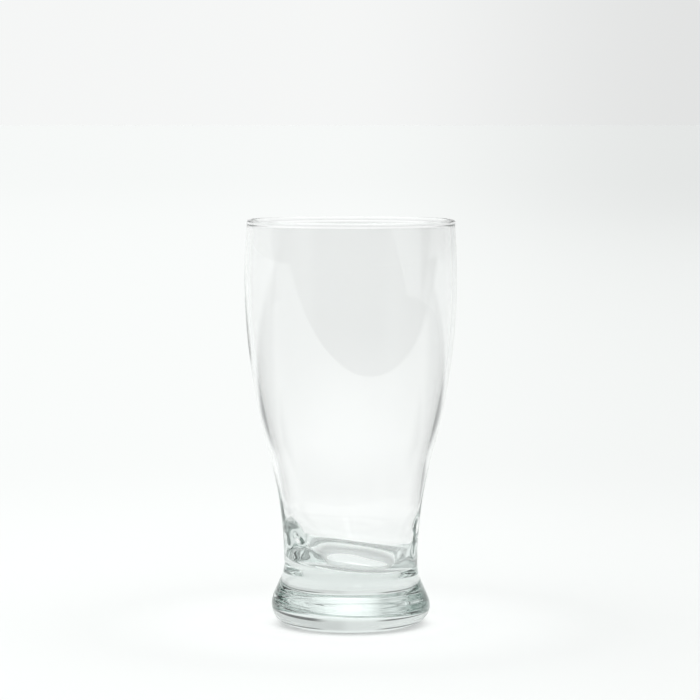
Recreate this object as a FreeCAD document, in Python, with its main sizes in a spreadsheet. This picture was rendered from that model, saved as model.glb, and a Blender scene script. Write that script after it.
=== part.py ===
"""Footed pint glass: a tulip bowl on a solid foot.

Millimetres, +Z up. The origin is on the glass's axis, at the plane it stands on.
The glass is modelled as two masses of glass, fused face to face just under the waist:
    bowl  the thin wall with its rim bead and thick rounded bottom
    foot  the solid flared foot with its standing ring and punt
Every outline is drawn in the XZ plane (radius across, height up) and turned about Z.
"""

import FreeCAD, Part
import math
import os
import sys

import Sketcher

V = FreeCAD.Vector

DIMENSIONS = [
    ("height", 160.0, "standing plane to the top of the rim"),
    ("belly_radius", 41.85, "largest outer radius of the bowl"),
    ("belly_height", 137.0, "height of that largest radius"),
    ("belly_arc", 255.5, "radius of the bowl's convex upper side"),
    ("waist_radius", 26.4, "smallest outer radius, between bowl and foot"),
    ("waist_height", 23.9, "height of the waist"),
    ("waist_arc", 13.8, "radius of the hollow curve under the waist"),
    ("flare_angle", 23.7, "slope of the foot's side from the vertical, in degrees"),
    ("wall", 2.0, "thickness of the even part of the wall"),
    ("bead", 2.4, "thickness of the fire-polished rim bead"),
    ("bead_neck", 2.0, "radius that blends the bead into the wall"),
    ("floor_height", 22.6, "height of the inside floor"),
    ("heel_height", 50.0, "height below which the wall thickens"),
    ("heel_arc", 80.0, "radius of the inside where the wall thickens"),
    ("corner_arc", 4.5, "radius between the inside wall and floor"),
    ("foot_radius", 31.35, "largest radius of the foot"),
    ("foot_belly_height", 7.7, "height of that radius, and the radius under it"),
    ("ring_width", 5.0, "width of the flat ring it stands on"),
    ("punt_depth", 1.5, "depth of the shallow hollow under the foot"),
]


# --- the sheet of driving dimensions ---------------------------------------------

def make_sheet(doc):
    """The spreadsheet: a name, a value with an alias, and a note on each row."""
    sheet = doc.addObject("Spreadsheet::Sheet", "dims")
    for row, (name, value, note) in enumerate(DIMENSIONS, start=1):
        sheet.set(f"A{row}", name)
        sheet.set(f"B{row}", str(value))
        sheet.set(f"C{row}", note)
        sheet.setAlias(f"B{row}", name)
    doc.recompute()
    return sheet


# --- plane geometry that the starting outlines are worked out from ---------------

def on_circle(centre, radius, angle):
    """The point of a circle at an angle in radians."""
    return V(centre.x + radius * math.cos(angle), centre.y + radius * math.sin(angle), 0)


def angle_to(centre, point):
    """The angle in radians at which a point lies from a centre."""
    return math.atan2(point.y - centre.y, point.x - centre.x)


def circles_meet(centre_a, radius_a, centre_b, radius_b):
    """Where two circles cross, on the right of the way from a to b."""
    way = centre_b - centre_a
    gap = way.Length
    along = (gap ** 2 + radius_a ** 2 - radius_b ** 2) / (2 * gap)
    across = math.sqrt(radius_a ** 2 - along ** 2)
    unit = way / gap
    return centre_a + unit * along + V(unit.y, -unit.x, 0) * across


def lower_bowl_radius(sheet):
    """Radius of the hollow lower side, which meets the convex upper side in one tangent."""
    rise = sheet.belly_height - sheet.waist_height
    run = sheet.waist_radius - sheet.belly_radius + sheet.belly_arc
    return (run ** 2 + rise ** 2 - sheet.belly_arc ** 2) / (2 * (sheet.belly_arc - run))


def joint_circle(sheet):
    """Radius and height of the circle where bowl and foot meet, at the flare's top."""
    flare = math.radians(sheet.flare_angle)
    radius = sheet.waist_radius + sheet.waist_arc * (1 - math.cos(flare))
    height = sheet.waist_height - sheet.waist_arc * math.sin(flare)
    return radius, height


# --- sketch helpers --------------------------------------------------------------

def origin_plane(body, role):
    """One of a body's own origin planes or axes, by its role."""
    return next(item for item in body.Origin.OriginFeatures if item.Role == role)


def new_sketch(body, name):
    """An empty sketch on the body's XZ plane."""
    sketch = body.newObject("Sketcher::SketchObject", name)
    sketch.AttachmentSupport = [(origin_plane(body, "XZ_Plane"), "")]
    sketch.MapMode = "FlatFace"
    return sketch


def add_line(sketch, start, end):
    """A line segment. Returns its index in the sketch."""
    return sketch.addGeometry(Part.LineSegment(start, end), False)


def add_arc(sketch, centre, radius, start, end):
    """An arc that runs counter-clockwise between two angles. Returns its index."""
    circle = Part.Circle(centre, V(0, 0, 1), radius)
    return sketch.addGeometry(Part.ArcOfCircle(circle, start, end), False)


START, END, CENTRE = 1, 2, 3
ORIGIN = (-1, 1)


def join(sketch, kind, first, first_end, second, second_end):
    """Ties two ends together, with a Coincident or a Tangent constraint."""
    sketch.addConstraint(Sketcher.Constraint(kind, first, first_end, second, second_end))


def size(sketch, name, expression, *constraint):
    """A named size whose value comes from the sheet."""
    index = sketch.addConstraint(Sketcher.Constraint(*constraint))
    sketch.renameConstraint(index, name)
    sketch.setExpression(f"Constraints.{name}", expression)


def height_of(sketch, name, expression, geometry, end, value):
    """A named height of a point above the standing plane."""
    size(sketch, name, expression, "DistanceY", *ORIGIN, geometry, end, value)


def radius_of(sketch, name, expression, geometry, end, value):
    """A named distance of a point from the glass's axis."""
    size(sketch, name, expression, "DistanceX", *ORIGIN, geometry, end, value)


# --- the bowl --------------------------------------------------------------------

def bowl_outline(body, sheet):
    """The bowl's wall and bottom in half section, as one closed outline of tangent arcs."""
    sketch = new_sketch(body, "bowl_outline")
    flare = math.radians(sheet.flare_angle)
    lower = lower_bowl_radius(sheet)
    joint_radius, joint_height = joint_circle(sheet)
    slope = math.asin((sheet.belly_height - sheet.waist_height) / (sheet.belly_arc + lower))

    # centres of the outside's three arcs, from the waist up
    waist_centre = V(sheet.waist_radius + sheet.waist_arc, sheet.waist_height, 0)
    lower_centre = V(sheet.waist_radius + lower, sheet.waist_height, 0)
    belly_centre = V(sheet.belly_radius - sheet.belly_arc, sheet.belly_height, 0)

    # the bead sits on the middle of the wall, and a small arc each side blends it in
    bead = sheet.bead / 2
    neck = sheet.bead_neck
    middle = sheet.belly_arc - sheet.wall / 2
    bead_height = sheet.height - bead
    reach = math.sqrt(middle ** 2 - (bead_height - sheet.belly_height) ** 2)
    bead_centre = V(belly_centre.x + reach, bead_height, 0)
    inside = sheet.belly_arc - sheet.wall
    outer_neck = circles_meet(belly_centre, sheet.belly_arc + neck, bead_centre, bead + neck)
    inner_neck = circles_meet(belly_centre, inside - neck, bead_centre, bead + neck)

    # the inside below the even wall: heel and corner
    lower_inside = lower + sheet.wall
    heel_slope = math.asin((sheet.heel_height - sheet.waist_height) / lower_inside)
    heel_top = on_circle(lower_centre, lower_inside, math.pi - heel_slope)
    heel_centre = on_circle(heel_top, sheet.heel_arc, math.pi - heel_slope)
    corner_height = sheet.floor_height + sheet.corner_arc
    heel_drop = heel_centre.y - corner_height
    corner_reach = math.sqrt((sheet.heel_arc - sheet.corner_arc) ** 2 - heel_drop ** 2)
    corner_centre = V(heel_centre.x + corner_reach, corner_height, 0)
    corner_slope = angle_to(heel_centre, corner_centre)

    joint_face = add_line(sketch, V(0, joint_height, 0), V(joint_radius, joint_height, 0))
    waist = add_arc(sketch, waist_centre, sheet.waist_arc, math.pi, math.pi + flare)
    lower_side = add_arc(sketch, lower_centre, lower, math.pi - slope, math.pi)
    belly = add_arc(
        sketch, belly_centre, sheet.belly_arc, -slope, angle_to(belly_centre, outer_neck)
    )
    outer_blend = add_arc(
        sketch, outer_neck, neck,
        angle_to(outer_neck, bead_centre), math.pi + angle_to(belly_centre, outer_neck),
    )
    rim = add_arc(
        sketch, bead_centre, bead,
        angle_to(bead_centre, outer_neck), angle_to(bead_centre, inner_neck) + 2 * math.pi,
    )
    inner_blend = add_arc(
        sketch, inner_neck, neck,
        angle_to(belly_centre, inner_neck), angle_to(inner_neck, bead_centre),
    )
    belly_inside = add_arc(
        sketch, belly_centre, inside, -slope, angle_to(belly_centre, inner_neck)
    )
    lower_wall = add_arc(
        sketch, lower_centre, lower_inside, math.pi - slope, math.pi - heel_slope
    )
    heel = add_arc(sketch, heel_centre, sheet.heel_arc, corner_slope, -heel_slope)
    corner = add_arc(
        sketch, corner_centre, sheet.corner_arc, -math.pi / 2, corner_slope
    )
    floor = add_line(
        sketch, V(corner_centre.x, sheet.floor_height, 0), V(0, sheet.floor_height, 0)
    )
    axis = add_line(sketch, V(0, sheet.floor_height, 0), V(0, joint_height, 0))

    # the chain of ends, from the joint face round to the axis
    join(sketch, "Coincident", joint_face, END, waist, END)
    join(sketch, "Tangent", waist, START, lower_side, END)
    join(sketch, "Tangent", lower_side, START, belly, START)
    join(sketch, "Tangent", belly, END, outer_blend, END)
    join(sketch, "Tangent", outer_blend, START, rim, START)
    join(sketch, "Tangent", rim, END, inner_blend, END)
    join(sketch, "Tangent", inner_blend, START, belly_inside, END)
    join(sketch, "Tangent", belly_inside, START, lower_wall, START)
    join(sketch, "Tangent", lower_wall, END, heel, END)
    join(sketch, "Tangent", heel, START, corner, END)
    join(sketch, "Tangent", corner, START, floor, START)
    join(sketch, "Coincident", floor, END, axis, START)
    join(sketch, "Coincident", axis, END, joint_face, START)
    sketch.addConstraint(Sketcher.Constraint("Horizontal", joint_face))
    sketch.addConstraint(Sketcher.Constraint("Horizontal", floor))
    sketch.addConstraint(Sketcher.Constraint("PointOnObject", floor, END, -2))
    sketch.addConstraint(Sketcher.Constraint("PointOnObject", axis, END, -2))

    # the wall is even: inside and outside arcs share their centres
    join(sketch, "Coincident", belly_inside, CENTRE, belly, CENTRE)
    join(sketch, "Coincident", lower_wall, CENTRE, lower_side, CENTRE)

    height_of(sketch, "waist_level", "dims.waist_height", lower_side, CENTRE, sheet.waist_height)
    height_of(sketch, "waist_arc_level", "dims.waist_height", waist, CENTRE, sheet.waist_height)
    radius_of(sketch, "waist_size", "dims.waist_radius", waist, START, sheet.waist_radius)
    size(sketch, "waist_curve", "dims.waist_arc", "Radius", waist, sheet.waist_arc)
    height_of(
        sketch, "joint_level", "dims.waist_height - dims.waist_arc * sin(dims.flare_angle * 1 deg)",
        joint_face, END, joint_height,
    )
    height_of(sketch, "belly_level", "dims.belly_height", belly, CENTRE, sheet.belly_height)
    size(sketch, "belly_curve", "dims.belly_arc", "Radius", belly, sheet.belly_arc)
    size(
        sketch, "belly_size", "dims.belly_arc - dims.belly_radius",
        "DistanceX", belly, CENTRE, *ORIGIN, sheet.belly_arc - sheet.belly_radius,
    )
    size(sketch, "inside_curve", "dims.belly_arc - dims.wall", "Radius", belly_inside, inside)
    size(sketch, "bead_size", "dims.bead / 2", "Radius", rim, bead)
    height_of(sketch, "bead_level", "dims.height - dims.bead / 2", rim, CENTRE, bead_height)
    size(sketch, "outer_blend_size", "dims.bead_neck", "Radius", outer_blend, neck)
    size(sketch, "inner_blend_size", "dims.bead_neck", "Radius", inner_blend, neck)
    size(
        sketch, "bead_place",
        "sqrt((dims.belly_arc - dims.wall / 2)^2"
        " - (dims.height - dims.bead / 2 - dims.belly_height)^2)",
        "DistanceX", belly, CENTRE, rim, CENTRE, reach,
    )
    height_of(sketch, "heel_level", "dims.heel_height", heel, END, sheet.heel_height)
    size(sketch, "heel_curve", "dims.heel_arc", "Radius", heel, sheet.heel_arc)
    size(sketch, "corner_curve", "dims.corner_arc", "Radius", corner, sheet.corner_arc)
    height_of(sketch, "floor_level", "dims.floor_height", floor, END, sheet.floor_height)
    return sketch


def turn(body, kind, name, sketch):
    """A full revolution of a sketch about the glass's axis: a Revolution or a Groove."""
    feature = body.newObject(f"PartDesign::{kind}", name)
    feature.Profile = sketch
    feature.ReferenceAxis = (sketch, ["V_Axis"])
    feature.Angle = 360
    return feature


def make_bowl(doc, sheet):
    """The bowl."""
    body = doc.addObject("PartDesign::Body", "bowl")
    body.Label = "bowl"
    turn(body, "Revolution", "bowl_wall", bowl_outline(body, sheet))
    return body


# --- the foot --------------------------------------------------------------------

def foot_outline(body, sheet):
    """The solid foot in half section, before the hollow under it."""
    sketch = new_sketch(body, "foot_outline")
    flare = math.radians(sheet.flare_angle)
    joint_radius, joint_height = joint_circle(sheet)
    level = sheet.foot_belly_height

    # the shoulder's radius is the one that is tangent to both the flare and the foot's side
    reach = (sheet.foot_radius - joint_radius) * math.cos(flare)
    drop = (joint_height - level) * math.sin(flare)
    shoulder_arc = (drop - reach) / (1 - math.cos(flare))
    shoulder_centre = V(sheet.foot_radius - shoulder_arc, level, 0)
    flare_end = on_circle(shoulder_centre, shoulder_arc, flare)
    ring_outer = sheet.foot_radius - level

    top = add_line(sketch, V(0, joint_height, 0), V(joint_radius, joint_height, 0))
    side = add_line(sketch, V(joint_radius, joint_height, 0), flare_end)
    shoulder = add_arc(sketch, shoulder_centre, shoulder_arc, 0, flare)
    under = add_arc(sketch, V(ring_outer, level, 0), level, -math.pi / 2, 0)
    base = add_line(sketch, V(ring_outer, 0, 0), V(0, 0, 0))
    axis = add_line(sketch, V(0, 0, 0), V(0, joint_height, 0))

    join(sketch, "Coincident", top, END, side, START)
    join(sketch, "Tangent", side, END, shoulder, END)
    join(sketch, "Tangent", shoulder, START, under, END)
    join(sketch, "Tangent", under, START, base, START)
    join(sketch, "Coincident", base, END, axis, START)
    join(sketch, "Coincident", axis, END, top, START)
    join(sketch, "Coincident", base, END, *ORIGIN)
    sketch.addConstraint(Sketcher.Constraint("Horizontal", base))
    sketch.addConstraint(Sketcher.Constraint("Horizontal", top))
    sketch.addConstraint(Sketcher.Constraint("Vertical", axis))

    radius_of(
        sketch, "joint_size", "dims.waist_radius + dims.waist_arc * (1 - cos(dims.flare_angle * 1 deg))",
        top, END, joint_radius,
    )
    height_of(
        sketch, "joint_level", "dims.waist_height - dims.waist_arc * sin(dims.flare_angle * 1 deg)",
        top, END, joint_height,
    )
    size(sketch, "flare_slope", "(dims.flare_angle - 90) * 1 deg", "Angle", side, flare - math.pi / 2)
    radius_of(sketch, "foot_size", "dims.foot_radius", shoulder, START, sheet.foot_radius)
    height_of(sketch, "foot_level", "dims.foot_belly_height", shoulder, CENTRE, level)
    size(sketch, "under_curve", "dims.foot_belly_height", "Radius", under, level)
    return sketch


def punt_outline(body, sheet):
    """The shallow dome that hollows the base, so that the glass stands on a ring."""
    sketch = new_sketch(body, "punt_outline")
    edge = sheet.foot_radius - sheet.foot_belly_height - sheet.ring_width
    depth = sheet.punt_depth
    dome = (edge ** 2 + depth ** 2) / (2 * depth)
    dome_centre = V(0, depth - dome, 0)
    edge_angle = angle_to(dome_centre, V(edge, 0, 0))

    crown = add_arc(sketch, dome_centre, dome, edge_angle, math.pi / 2)
    axis = add_line(sketch, V(0, depth, 0), V(0, 0, 0))
    base = add_line(sketch, V(0, 0, 0), V(edge, 0, 0))

    join(sketch, "Coincident", crown, END, axis, START)
    join(sketch, "Coincident", axis, END, base, START)
    join(sketch, "Coincident", base, END, crown, START)
    join(sketch, "Coincident", axis, END, *ORIGIN)
    sketch.addConstraint(Sketcher.Constraint("PointOnObject", crown, CENTRE, -2))
    sketch.addConstraint(Sketcher.Constraint("Vertical", axis))
    sketch.addConstraint(Sketcher.Constraint("Horizontal", base))
    radius_of(
        sketch, "edge_size", "dims.foot_radius - dims.foot_belly_height - dims.ring_width",
        base, END, edge,
    )
    height_of(sketch, "crown_level", "dims.punt_depth", crown, END, depth)
    return sketch


def make_foot(doc, sheet):
    """The solid foot."""
    body = doc.addObject("PartDesign::Body", "foot")
    body.Label = "foot"
    turn(body, "Revolution", "foot_solid", foot_outline(body, sheet))
    doc.recompute()
    solid_volume = body.Shape.Volume
    turn(body, "Groove", "punt", punt_outline(body, sheet))
    doc.recompute()
    if body.Shape.Volume >= solid_volume:
        sys.exit("the punt removed nothing from the foot")
    return body


# --- checks and output -----------------------------------------------------------

def check(doc, bodies):
    """Stops if any object failed to compute or any piece isn't one valid solid."""
    for item in doc.Objects:
        if "Invalid" in item.State or "Error" in item.State:
            sys.exit(f"{item.Name} is {item.State}")
        if item.TypeId == "Sketcher::SketchObject" and item.solve() != 0:
            sys.exit(f"{item.Name} can't be solved")
    for body in bodies:
        if body.Shape.isNull() or not body.Shape.isValid() or len(body.Shape.Solids) != 1:
            sys.exit(f"{body.Label} isn't one valid solid")


def capacity_ml(bowl, sheet):
    """What the glass holds when it is full to the brim."""
    floor = V(0, 0, sheet.floor_height)
    brim = sheet.height - sheet.bead / 2
    drum = Part.makeCylinder(sheet.belly_radius, brim - sheet.floor_height, floor)
    on_axis = V(0, 0, sheet.belly_height)
    for solid in drum.cut(bowl.Shape).Solids:
        if solid.isInside(on_axis, 0.01, False):
            return solid.Volume / 1000
    return 0


def main():
    doc = FreeCAD.newDocument("pint_glass")
    sheet = make_sheet(doc)
    bowl = make_bowl(doc, sheet)
    foot = make_foot(doc, sheet)
    doc.recompute()
    bodies = [bowl, foot]
    check(doc, bodies)

    os.makedirs("parts", exist_ok=True)
    for body in bodies:
        body.Shape.exportStep(f"parts/{body.Label}.step")
        print(f"{body.Label}: {body.Shape.Volume / 1000:.1f} ml of glass")
    print(f"holds {capacity_ml(bowl, sheet):.0f} ml to the brim")


main()
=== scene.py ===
"""Footed pint glass: the looks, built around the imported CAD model.

The glass is one mesh, because two touching meshes would show a false surface where bowl and foot meet.
Its outline repeats the CAD outline in tangent arcs, and the unevenness of worked glass is added to it.
The stage is made for the main camera. From other angles its dark parts show.
Metres, +Z up, the same frame as the CAD model.
"""

import math

import bpy
import numpy as np
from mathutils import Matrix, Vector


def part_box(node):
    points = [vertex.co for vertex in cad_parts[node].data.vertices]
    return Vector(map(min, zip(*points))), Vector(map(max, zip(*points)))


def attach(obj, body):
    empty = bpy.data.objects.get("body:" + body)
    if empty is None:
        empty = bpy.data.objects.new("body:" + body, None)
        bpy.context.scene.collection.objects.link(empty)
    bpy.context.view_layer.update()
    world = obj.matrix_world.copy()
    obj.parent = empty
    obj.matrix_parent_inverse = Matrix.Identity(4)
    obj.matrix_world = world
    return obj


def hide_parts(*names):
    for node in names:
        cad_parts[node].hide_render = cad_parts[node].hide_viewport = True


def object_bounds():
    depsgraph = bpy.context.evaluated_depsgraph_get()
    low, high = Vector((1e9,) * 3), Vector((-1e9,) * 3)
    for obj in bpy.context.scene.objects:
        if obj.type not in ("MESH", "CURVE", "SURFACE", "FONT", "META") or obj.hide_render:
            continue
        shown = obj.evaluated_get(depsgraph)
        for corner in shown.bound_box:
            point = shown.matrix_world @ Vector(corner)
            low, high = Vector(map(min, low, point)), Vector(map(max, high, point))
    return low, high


MM = 0.001

# the outline, in millimetres, as the CAD model has it
BELLY_HEIGHT = 137.0
BELLY_ARC = 255.5
WAIST_RADIUS = 26.4
WAIST_HEIGHT = 23.9
WAIST_ARC = 13.8
FLARE = math.radians(23.7)
WALL = 2.0
# the bead's radius, half of the CAD model's thickness
BEAD = 1.2
BEAD_NECK = 2.0
FLOOR_HEIGHT = 22.6
HEEL_HEIGHT = 50.0
HEEL_ARC = 80.0
CORNER_ARC = 4.5
FOOT_BELLY = 7.7
RING_WIDTH = 5.0
PUNT_DEPTH = 1.5

# in metres: a floor that touched the standing ring would draw black bands in the foot
FLOOR_GAP = 0.0001

# the mesh: points round the glass, and the largest steps along the outline in millimetres
SEGMENTS = 224
FINE_STEP = 0.45
COARSE_STEP = 1.3

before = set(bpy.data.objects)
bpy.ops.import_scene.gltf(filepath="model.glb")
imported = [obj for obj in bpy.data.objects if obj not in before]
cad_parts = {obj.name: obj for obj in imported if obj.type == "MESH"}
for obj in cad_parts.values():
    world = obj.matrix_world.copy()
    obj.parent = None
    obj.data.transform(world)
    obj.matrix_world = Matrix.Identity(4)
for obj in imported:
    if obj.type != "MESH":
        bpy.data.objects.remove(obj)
cad_low, cad_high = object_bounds()
HEIGHT = cad_high.z / MM
BELLY_RADIUS = cad_high.x / MM
FOOT_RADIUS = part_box("foot")[1].x / MM


# --- the outline ---------------------------------------------------------------

def on_circle(centre, radius, angle):
    """The point of a circle at an angle in radians."""
    return np.array([centre[0] + radius * math.cos(angle), centre[1] + radius * math.sin(angle)])


def arc(centre, radius, start, end, step):
    """Points along an arc, from one angle to the other, both ends included."""
    count = max(2, math.ceil(abs(end - start) * radius / step) + 1)
    angles = np.linspace(start, end, count)
    return np.stack([centre[0] + radius * np.cos(angles), centre[1] + radius * np.sin(angles)], 1)


def line(start, end, step):
    """Points along a straight run, both ends included."""
    start, end = np.array(start, float), np.array(end, float)
    count = max(2, math.ceil(np.linalg.norm(end - start) / step) + 1)
    share = np.linspace(0, 1, count)[:, None]
    return start + (end - start) * share


def angle_to(centre, point):
    """The angle in radians at which a point lies from a centre."""
    return math.atan2(point[1] - centre[1], point[0] - centre[0])


def circles_meet(centre_a, radius_a, centre_b, radius_b):
    """Where two circles cross, right of the way from a to b."""
    way = np.array(centre_b) - np.array(centre_a)
    gap = np.linalg.norm(way)
    along = (gap ** 2 + radius_a ** 2 - radius_b ** 2) / (2 * gap)
    across = math.sqrt(radius_a ** 2 - along ** 2)
    unit = way / gap
    return centre_a + unit * along + np.array([unit[1], -unit[0]]) * across


def outline():
    """The half section as (radius, height) rows in mm, and the row where the inside begins.

    It runs from the punt's centre up the outside, over the rim and down to the inside floor's centre.
    """
    rise = BELLY_HEIGHT - WAIST_HEIGHT
    run = WAIST_RADIUS - BELLY_RADIUS + BELLY_ARC
    lower = (run ** 2 + rise ** 2 - BELLY_ARC ** 2) / (2 * (BELLY_ARC - run))
    slope = math.asin(rise / (BELLY_ARC + lower))
    belly_centre = np.array([BELLY_RADIUS - BELLY_ARC, BELLY_HEIGHT])
    lower_centre = np.array([WAIST_RADIUS + lower, WAIST_HEIGHT])
    waist_centre = np.array([WAIST_RADIUS + WAIST_ARC, WAIST_HEIGHT])
    joint = on_circle(waist_centre, WAIST_ARC, math.pi + FLARE)

    # foot
    ring_outer = FOOT_RADIUS - FOOT_BELLY
    ring_inner = ring_outer - RING_WIDTH
    dome = (ring_inner ** 2 + PUNT_DEPTH ** 2) / (2 * PUNT_DEPTH)
    dome_centre = np.array([0.0, PUNT_DEPTH - dome])
    reach = (FOOT_RADIUS - joint[0]) * math.cos(FLARE)
    drop = (joint[1] - FOOT_BELLY) * math.sin(FLARE)
    shoulder_arc = (drop - reach) / (1 - math.cos(FLARE))
    shoulder_centre = np.array([FOOT_RADIUS - shoulder_arc, FOOT_BELLY])

    # rim
    bead_height = HEIGHT - BEAD
    middle = BELLY_ARC - WALL / 2
    bead_reach = math.sqrt(middle ** 2 - (bead_height - BELLY_HEIGHT) ** 2)
    bead_centre = np.array([belly_centre[0] + bead_reach, bead_height])
    inside = BELLY_ARC - WALL
    outer_neck = circles_meet(belly_centre, BELLY_ARC + BEAD_NECK, bead_centre, BEAD + BEAD_NECK)
    inner_neck = circles_meet(belly_centre, inside - BEAD_NECK, bead_centre, BEAD + BEAD_NECK)

    # inside
    lower_inside = lower + WALL
    heel_slope = math.asin((HEEL_HEIGHT - WAIST_HEIGHT) / lower_inside)
    heel_top = on_circle(lower_centre, lower_inside, math.pi - heel_slope)
    heel_centre = on_circle(heel_top, HEEL_ARC, math.pi - heel_slope)
    corner_height = FLOOR_HEIGHT + CORNER_ARC
    heel_drop = heel_centre[1] - corner_height
    corner_reach = math.sqrt((HEEL_ARC - CORNER_ARC) ** 2 - heel_drop ** 2)
    corner_centre = np.array([heel_centre[0] + corner_reach, corner_height])
    corner_slope = angle_to(heel_centre, corner_centre)

    crown_end = angle_to(dome_centre, (ring_inner, 0.0))
    outer_runs = [
        arc(dome_centre, dome, math.pi / 2, crown_end, COARSE_STEP),
        line((ring_inner, 0), (ring_outer, 0), FINE_STEP),
        arc((ring_outer, FOOT_BELLY), FOOT_BELLY, -math.pi / 2, 0, FINE_STEP),
        arc(shoulder_centre, shoulder_arc, 0, FLARE, FINE_STEP),
        line(on_circle(shoulder_centre, shoulder_arc, FLARE), joint, FINE_STEP * 2),
        arc(waist_centre, WAIST_ARC, math.pi + FLARE, math.pi, FINE_STEP),
        arc(lower_centre, lower, math.pi, math.pi - slope, COARSE_STEP),
        arc(belly_centre, BELLY_ARC, -slope, angle_to(belly_centre, outer_neck), COARSE_STEP),
        arc(outer_neck, BEAD_NECK, math.pi + angle_to(belly_centre, outer_neck),
            angle_to(outer_neck, bead_centre), FINE_STEP / 3),
        arc(bead_centre, BEAD, angle_to(bead_centre, outer_neck),
            angle_to(bead_centre, inner_neck) + 2 * math.pi, FINE_STEP / 2),
    ]
    inner_runs = [
        arc(inner_neck, BEAD_NECK, angle_to(inner_neck, bead_centre),
            angle_to(belly_centre, inner_neck), FINE_STEP / 3),
        arc(belly_centre, inside, angle_to(belly_centre, inner_neck), -slope, COARSE_STEP),
        arc(lower_centre, lower_inside, math.pi - slope, math.pi - heel_slope, COARSE_STEP),
        arc(heel_centre, HEEL_ARC, -heel_slope, corner_slope, COARSE_STEP / 2),
        arc(corner_centre, CORNER_ARC, corner_slope, -math.pi / 2, FINE_STEP),
        line((corner_centre[0], FLOOR_HEIGHT), (0, FLOOR_HEIGHT), COARSE_STEP),
    ]
    # each run starts at the point where the one before it ends
    later_runs = outer_runs[1:] + inner_runs
    rows = np.concatenate([outer_runs[0]] + [points[1:] for points in later_runs])
    inside_from = sum(len(points) - 1 for points in outer_runs) + 1
    return rows, inside_from


# --- the glass -----------------------------------------------------------------

def smooth_step(value, low, high):
    """0 below low, 1 above high, and a smooth rise between."""
    share = np.clip((value - low) / (high - low), 0, 1)
    return share * share * (3 - 2 * share)


# the inside floor's slope, and how far off the axis the inside sits: all of it, and its lowest part
FLOOR_SLOPE = 0.10
INSIDE_SHIFT = 0.45
LOW_SHIFT = 0.6
# the slope of the foot's side
FLANK_SLOPE = 0.022

# dents in the inside where the glass thickens:
# angle in degrees from +X, then height, size and depth in millimetres
DENTS = (
    (211, 34.8, 1.4, 0.75),
    (196, 42.5, 2.2, -0.45),
    (186, 33.0, 1.8, 0.55),
    (222, 31.5, 1.8, -0.45),
    (-14, 41.0, 1.7, 0.60),
    (-22, 35.0, 1.6, -0.60),
    (-8, 31.0, 1.8, 0.60),
    (-36, 30.5, 1.8, 0.35),
)


def unevenness(x, y, z, inside):
    """How worked glass strays from round, in mm: a shift of each point."""
    angle = np.arctan2(y, x)
    radius = np.hypot(x, y)
    deep = 1 - smooth_step(z, 26, 74)
    # the inside leans: its floor is high on the left and low on the right
    low_end = inside * (1 - smooth_step(z, 22, 52))
    dz = -FLOOR_SLOPE * x * low_end
    dx = inside * (INSIDE_SHIFT * deep + LOW_SHIFT * (1 - smooth_step(z, 26, 44)))
    # broad lobes round the thick bottom's inside
    lobe = 0.22 * np.cos(3 * angle + 0.7) + 0.13 * np.cos(5 * angle + 2.1)
    lobe = lobe + 0.25 * np.cos(2 * angle - 0.4)
    grow = smooth_step(z, 24, 32) * (1 - smooth_step(z, 40, 66)) * lobe
    for degrees, height, size, depth in DENTS:
        turn = np.angle(np.exp(1j * (angle - math.radians(degrees))))
        away = (turn * radius) ** 2 + (z - height) ** 2
        grow = grow - depth * np.exp(-away / (2 * size ** 2))
    # the wall's thickness wanders slowly round the bowl
    wander = 0.08 * np.cos(angle + 2.6) + 0.04 * np.cos(2 * angle + 0.3 + z / 31)
    wander = wander + 0.02 * np.cos(7 * angle + z / 17)
    grow = inside * (grow + wander * smooth_step(z, 40, 90) * (1 - smooth_step(z, 95, 152)))
    # the upper side of the foot leans a little too
    flank = (1 - inside) * smooth_step(z, 2, 9) * (1 - smooth_step(z, 19, 34))
    dz = dz - FLANK_SLOPE * x * flank
    safe_radius = np.maximum(radius, 1e-6)
    return dx + grow * x / safe_radius, grow * y / safe_radius, dz


def make_glass():
    """The whole glass as one closed mesh: rings of points, and a point at the centre of each end."""
    rows, inside_from = outline()
    ring_rows = rows[1:-1]
    inside = (np.arange(1, len(rows) - 1) >= inside_from).astype(float)
    angles = np.arange(SEGMENTS) * (2 * math.pi / SEGMENTS)
    x = ring_rows[:, :1] * np.cos(angles)
    y = ring_rows[:, :1] * np.sin(angles)
    z = np.repeat(ring_rows[:, 1:], SEGMENTS, axis=1)
    dx, dy, dz = unevenness(x, y, z, inside[:, None] * np.ones_like(x))
    x, y, z = x + dx, y + dy, z + dz
    bottom = [0.0, 0.0, rows[0, 1]]
    floor_height = rows[-1, 1]
    on_axis = (np.array([1e-9]), np.array([0.0]), np.array([floor_height]))
    top_dx, top_dy, top_dz = unevenness(*on_axis, np.array([1.0]))
    top = [top_dx[0], top_dy[0], floor_height + top_dz[0]]
    rings = len(ring_rows)
    points = np.concatenate([np.stack([x, y, z], 2).reshape(-1, 3), [bottom, top]]) * MM

    faces = []
    for ring in range(rings - 1):
        near, far = ring * SEGMENTS, (ring + 1) * SEGMENTS
        for seg in range(SEGMENTS):
            nxt = (seg + 1) % SEGMENTS
            faces.append((near + seg, near + nxt, far + nxt, far + seg))
    last = (rings - 1) * SEGMENTS
    for seg in range(SEGMENTS):
        nxt = (seg + 1) % SEGMENTS
        faces.append((len(points) - 2, nxt, seg))
        faces.append((len(points) - 1, last + seg, last + nxt))
    mesh = bpy.data.meshes.new("pint_glass")
    mesh.from_pydata(points.tolist(), [], faces)
    mesh.validate()
    mesh.shade_smooth()
    glass = bpy.data.objects.new("pint_glass", mesh)
    bpy.context.scene.collection.objects.link(glass)
    return glass


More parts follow.
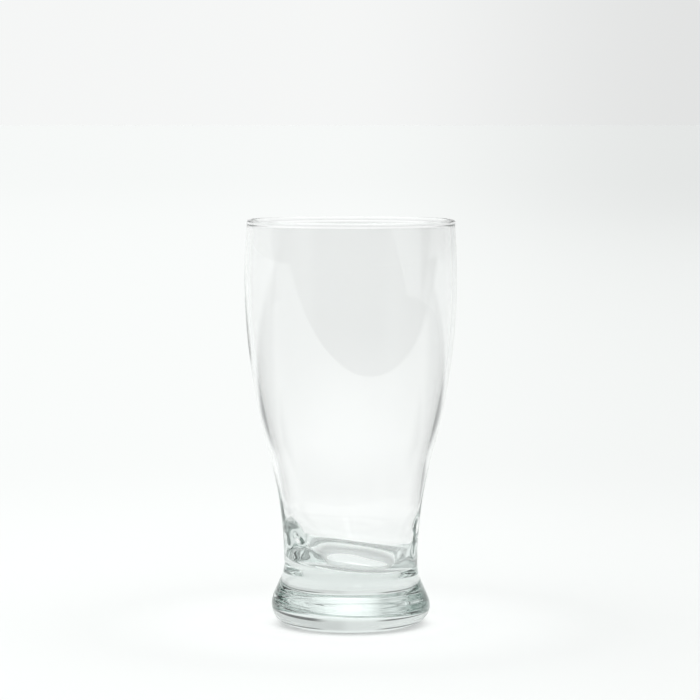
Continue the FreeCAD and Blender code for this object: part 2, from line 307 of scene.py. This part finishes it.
def glass_material():
    """Smooth clear glass with a slight green tint in its thickness."""
    material = bpy.data.materials.new("clear_glass")
    material.use_nodes = True
    nodes, links = material.node_tree.nodes, material.node_tree.links
    shader = nodes["Principled BSDF"]
    shader.inputs["Base Color"].default_value = (1, 1, 1, 1)
    shader.inputs["Roughness"].default_value = 0.0
    shader.inputs["IOR"].default_value = 1.5
    shader.inputs["Transmission Weight"].default_value = 1.0
    tint = nodes.new("ShaderNodeVolumeAbsorption")
    tint.inputs["Color"].default_value = (0.52, 0.62, 0.59, 1)
    tint.inputs["Density"].default_value = 9.5
    links.new(tint.outputs["Volume"], nodes["Material Output"].inputs["Volume"])
    return material


# --- the stage -----------------------------------------------------------------

class Graph:
    """Short ways to add nodes to a node tree."""

    def __init__(self, tree):
        self.nodes, self.links = tree.nodes, tree.links

    def add(self, kind, **settings):
        node = self.nodes.new("ShaderNode" + kind)
        for name, value in settings.items():
            setattr(node, name, value)
        return node

    def feed(self, socket, value):
        if isinstance(value, bpy.types.NodeSocket):
            self.links.new(value, socket)
        else:
            socket.default_value = value

    def math(self, operation, *values):
        node = self.add("Math", operation=operation)
        for socket, value in zip(node.inputs, values):
            self.feed(socket, value)
        return node.outputs[0]

    def plus(self, first, *more):
        for value in more:
            first = self.math("ADD", first, value)
        return first

    def times(self, first, *more):
        for value in more:
            first = self.math("MULTIPLY", first, value)
        return first

    def ramp(self, value, low, high, out_low=0.0, out_high=1.0):
        """A smooth step of value between low and high."""
        node = self.add("MapRange", interpolation_type="SMOOTHSTEP")
        for socket, item in zip(node.inputs, (value, low, high, out_low, out_high)):
            self.feed(socket, item)
        return node.outputs[0]

    def band(self, value, low, high, soft):
        """1 between low and high, with soft edges that wide."""
        rise = self.ramp(value, low - soft / 2, low + soft / 2)
        fall = self.ramp(value, high - soft / 2, high + soft / 2, 1.0, 0.0)
        return self.times(rise, fall)

    def mix(self, share, first, second):
        """A number between first and second."""
        node = self.add("Mix", data_type="FLOAT")
        for socket, item in zip((node.inputs[0], node.inputs[2], node.inputs[3]), (share, first, second)):
            self.feed(socket, item)
        return node.outputs[0]


# brightness of the studio: a pale backdrop behind a white table, a dim room behind the camera
# on the floor some of these levels are painted into its colour, as shade past, beside and far behind the
# table
ROOM = 0.06
SIDES = 0.36
BESIDE_PAINTED_SHADE = 0.42
BACKDROP = 0.925
MIDDLE = 1.0
FAR_PAINTED_SHADE = 0.97
WALLS = 1.15
OVERHEAD = 1.72
# the table's albedo that makes it just short of white under that light
TABLE = 0.765
# where the table's front edge crosses the axis's plane, in metres
TABLE_FRONT = -0.32
# compass directions between which the room is dim, in degrees from the front toward +X
DIM_FROM, DIM_TO = -42.0, 106.0
# a trace of green in all the light
STUDIO_TINT = (0.990, 1.0, 0.995)
# the main camera's distance in front of the axis, and x over distance where the painted shade on the floor
# beside its view fades in
CAMERA_DISTANCE = 1.2
STRIP_START, STRIP_END = 0.114, 0.145
BOUNCES = 128


def compass(graph, x, y):
    """The direction of a point or ray, in degrees from the front toward +X."""
    return graph.times(graph.math("ARCTAN2", x, graph.times(y, -1.0)), 180 / math.pi)


def dim_sector(graph, turn):
    """1 toward the dim room, with soft edges."""
    return graph.band(turn, DIM_FROM, DIM_TO, 14.0)


def tinted(graph, value):
    """A brightness as a colour with the studio's tint."""
    colour = graph.add("CombineColor")
    for socket, share in zip(colour.inputs, STUDIO_TINT):
        graph.feed(socket, graph.times(value, share))
    return colour.outputs[0]


def make_floor():
    """A wide round floor: the table, and the room's floor round it, with shade and light painted into its
    colour.
    """
    count = 96
    radius = 60
    turns = [2 * math.pi * i / count for i in range(count)]
    edge = [(radius * math.cos(t), radius * math.sin(t), -FLOOR_GAP) for t in turns]
    mesh = bpy.data.meshes.new("floor")
    mesh.from_pydata(edge, [], [tuple(range(count))])
    floor = bpy.data.objects.new("floor", mesh)
    bpy.context.scene.collection.objects.link(floor)
    material = bpy.data.materials.new("pale_floor")
    material.use_nodes = True
    graph = Graph(material.node_tree)
    shader = graph.nodes["Principled BSDF"]
    shader.inputs["Roughness"].default_value = 1.0
    shader.inputs["Specular IOR Level"].default_value = 0.0
    place = graph.add("SeparateXYZ")
    graph.links.new(graph.add("NewGeometry").outputs["Position"], place.inputs[0])
    x, y = place.outputs[0], place.outputs[1]
    sector = dim_sector(graph, compass(graph, x, y))
    # painted shade: far back the floor is painted a little less bright, and to the right it is painted darker
    # along lines of sight from the main camera's place
    far = graph.ramp(y, 2.0, 9.0)
    away = graph.plus(graph.math("ABSOLUTE", y), CAMERA_DISTANCE)
    right = graph.ramp(graph.math("DIVIDE", x, away), -0.01, 0.115)
    right = graph.times(right, graph.ramp(y, 0.0, 6.0, 0.05, 0.15))
    table = graph.plus(MIDDLE, graph.times(far, FAR_PAINTED_SHADE - MIDDLE), graph.times(right, -1.0))
    reach = graph.math("SQRT", graph.plus(graph.times(x, x), graph.times(y, y)))
    # painted light: the table is painted brighter close round the glass, lifting the shade round the foot,
    # and a little darker further out
    near = graph.ramp(reach, 0.02, 0.11, 1.28, 1.06)
    table = graph.times(table, near, graph.ramp(reach, 0.11, 0.6, 1.0, 0.945))
    # past the table's front edge there is the room, painted dark on the floor as its shade
    room = graph.mix(sector, SIDES, ROOM)
    front = graph.ramp(graph.plus(y, graph.times(x, -0.36)), TABLE_FRONT - 0.015, TABLE_FRONT, 1.0, 0.0)
    # painted shade: dark strips beside the table, which begin where the main camera's view ends
    depth = graph.math("MAXIMUM", graph.plus(y, CAMERA_DISTANCE), 0.9)
    beside = graph.math("DIVIDE", graph.math("ABSOLUTE", x), depth)
    side = graph.ramp(beside, STRIP_START, STRIP_END)
    side = graph.times(side, graph.band(y, 0.05, 0.45, 0.12))
    value = graph.mix(front, graph.mix(side, table, BESIDE_PAINTED_SHADE), room)
    graph.feed(shader.inputs["Base Color"], tinted(graph, graph.times(value, TABLE)))
    # a glow in the table under the base: not physical, it only lifts what the glass shows of the table
    shader.inputs["Emission Color"].default_value = (1, 1, 1, 1)
    graph.feed(shader.inputs["Emission Strength"], graph.ramp(reach, 0.024, 0.048, 0.16, 0.0))
    mesh.materials.append(material)


def make_world():
    """The studio's light, all of it from the surroundings."""
    world = bpy.data.worlds.new("studio")
    world.use_nodes = True
    bpy.context.scene.world = world
    graph = Graph(world.node_tree)
    direction = graph.add("SeparateXYZ")
    graph.links.new(graph.add("TexCoord").outputs["Generated"], direction.inputs[0])
    x, y, z = direction.outputs
    turn = compass(graph, x, y)
    sector = dim_sector(graph, turn)
    flat = graph.math("SQRT", graph.plus(graph.times(x, x), graph.times(y, y)))
    rise = graph.times(graph.math("ARCTAN2", z, flat), 180 / math.pi)
    right = graph.ramp(graph.math("DIVIDE", x, graph.math("MAXIMUM", y, 0.01)), -0.01, 0.115)
    backdrop = graph.plus(BACKDROP, graph.times(right, -0.15))
    low = graph.mix(graph.ramp(y, -0.3, 0.75), graph.mix(sector, SIDES, ROOM), backdrop)
    level = graph.mix(graph.ramp(rise, 5.0, 24.0), low, WALLS)
    level = graph.mix(graph.ramp(rise, 50.0, 64.0), level, OVERHEAD)
    # a dark ledge at the back, low down and to both sides of the axis
    ledge = graph.times(graph.band(rise, 8.0, 14.0, 2.0), graph.ramp(y, 0.1, 0.4))
    ledge = graph.times(ledge, graph.ramp(graph.math("ABSOLUTE", x), 0.18, 0.36))
    level = graph.mix(graph.times(ledge, 0.85), level, ROOM)
    # a window behind the camera: a pane and a sliver
    pane = graph.times(graph.band(turn, 6.0, 20.0, 2.0), graph.band(rise, 27.0, 37.0, 2.0))
    sliver = graph.times(graph.band(turn, -9.0, -5.0, 2.0), graph.band(rise, 24.0, 37.0, 2.0))
    level = graph.plus(level, pane, graph.times(sliver, 0.6))
    graph.feed(graph.nodes["Background"].inputs["Color"], tinted(graph, level))


def make_camera():
    """The main camera, a little above the rim and looking slightly down."""
    data = bpy.data.cameras.new("camera")
    data.lens = 157.04
    data.sensor_width = 36
    camera = bpy.data.objects.new("camera", data)
    camera.location = (-0.00033, -CAMERA_DISTANCE, 0.2009)
    camera.rotation_euler = (math.radians(90 - 4.4), 0, 0)
    bpy.context.scene.collection.objects.link(camera)
    bpy.context.scene.camera = camera


glass = make_glass()
glass.data.materials.append(glass_material())
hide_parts("bowl", "foot")
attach(glass, "root")
make_floor()
make_world()
make_camera()

# the thick bottom needs many bounces, or it fills with black
scene = bpy.context.scene
scene.view_settings.view_transform = "Standard"
scene.cycles.max_bounces = BOUNCES
scene.cycles.transmission_bounces = BOUNCES
scene.cycles.glossy_bounces = BOUNCES
